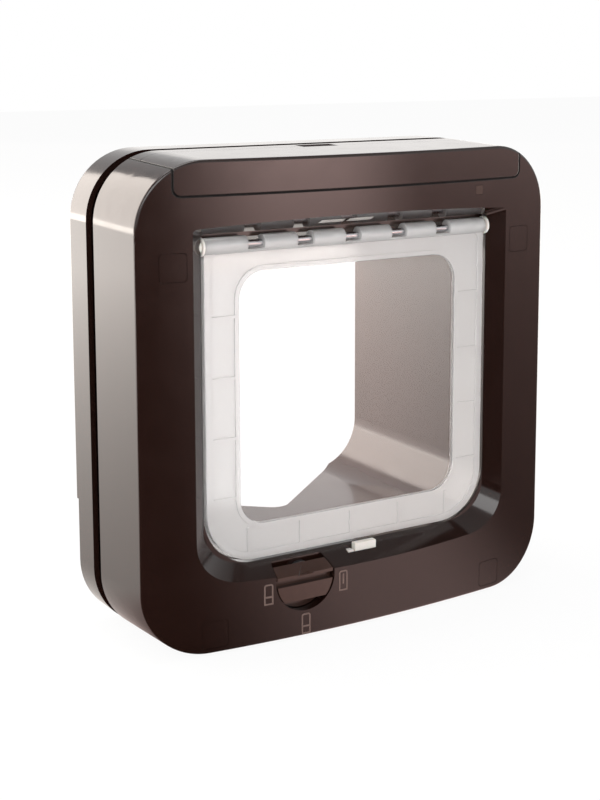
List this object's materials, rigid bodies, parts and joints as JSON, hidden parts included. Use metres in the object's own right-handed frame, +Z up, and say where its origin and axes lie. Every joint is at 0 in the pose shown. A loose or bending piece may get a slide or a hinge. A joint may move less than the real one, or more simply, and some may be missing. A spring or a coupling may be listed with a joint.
{
  "type": "cat flap",
  "caption": "Square selective-entry cat flap for a door: bowed indoor housing with battery cover and lock dial, clear swinging flap, sloping tunnel and outdoor frame",
  "frame": {"origin": "bottom centre of the bounding box", "axes": "+Z up, +Y from the indoor face through the door to the outside, +X to the right of a person who looks at the indoor face"},
  "size_m": [0.21, 0.1216, 0.21],
  "materials": {
    "brown_plastic": "gloss",
    "clear_plastic": "gloss",
    "clear_lens": "gloss",
    "white_plastic": "satin",
    "black_plastic": "matt",
    "mark_paint": "matt",
    "steel": "satin",
    "brass": "satin",
    "board_green": "satin",
    "seal_foam": "matt",
    "cell_can": "gloss",
    "lead_cover": "satin",
    "coil_tape": "satin"
  },
  "bodies": {
    "frame": {"front_housing": "brown_plastic", "tunnel_housing": "brown_plastic", "outdoor_frame": "brown_plastic", "screw_cap_upper_left": "brown_plastic", "screw_cap_upper_right": "brown_plastic", "screw_cap_lower_left": "brown_plastic", "screw_cap_lower_right": "brown_plastic", "position_marks": "mark_paint", "sensor_window_left": "clear_lens", "sensor_window_right": "clear_lens", "indicator_lens": "clear_lens", "hinge_bush_left": "white_plastic", "hinge_bush_right": "white_plastic", "battery_tray": "black_plastic", "battery_cell_left_front": "cell_can", "battery_cell_left_back": "cell_can", "battery_cell_right_front": "cell_can", "battery_cell_right_back": "cell_can", "contact_plates": "steel", "contact_springs": "steel", "circuit_board": "board_green", "processor_chip": "black_plastic", "push_switch": "black_plastic", "antenna_coil": "coil_tape", "fork_spring": "steel", "latch_guide": "black_plastic", "latch_motor": "steel", "guide_screws": "steel", "motor_lead": "lead_cover", "fixing_screws": "steel", "threaded_inserts": "brass", "housing_screws": "steel", "door_seal": "seal_foam"},
    "flap": {"flap_panel": "clear_plastic", "hinge_rod": "steel"},
    "cover": {"battery_cover": "brown_plastic"},
    "dial": {"lock_dial": "brown_plastic", "dial_cam": "white_plastic", "dial_screw": "steel"},
    "fork": {"lock_fork": "white_plastic"},
    "latch": {"motor_latch": "white_plastic"},
    "pinion": {"drive_pinion": "brass"},
    "button": {"settings_button": "black_plastic"}
  },
  "joints": [
    {"name": "flap_swing", "type": "hinge", "parent": "frame", "child": "flap", "pos_m": [0, -0.04785, 0.1725], "axis": [1, 0, 0], "range_deg": [-88, 65]},
    {"name": "cover_lift", "type": "slide", "parent": "frame", "child": "cover", "axis": [0, 0, 1], "range_m": [0, 0.03]},
    {"name": "dial_turn", "type": "hinge", "parent": "frame", "child": "dial", "pos_m": [-0.0299, -0.05575, 0.0269], "axis": [0, 1, 0], "range_deg": [0, 270]},
    {"name": "fork_lift", "type": "slide", "parent": "frame", "child": "fork", "axis": [0, 0, 1], "range_m": [0, 0.0052], "deforming": ["fork_spring"]},
    {"name": "latch_lift", "type": "slide", "parent": "frame", "child": "latch", "axis": [0, 0, 1], "range_m": [0, 0.005]},
    {"name": "pinion_turn", "type": "hinge", "parent": "frame", "child": "pinion", "pos_m": [0.00475, -0.04625, 0.02], "axis": [1, 0, 0], "range_deg": [-72, 0]},
    {"name": "button_press", "type": "slide", "parent": "frame", "child": "button", "axis": [0, 0, -1], "range_m": [0, 0.0012], "stiffness_N_per_m": 400}
  ],
  "couplings": [
    {"joint": "dial_turn", "follows": "fork_lift", "rad_per_m": 906.2},
    {"joint": "pinion_turn", "follows": "latch_lift", "rad_per_m": -250}
  ]
}
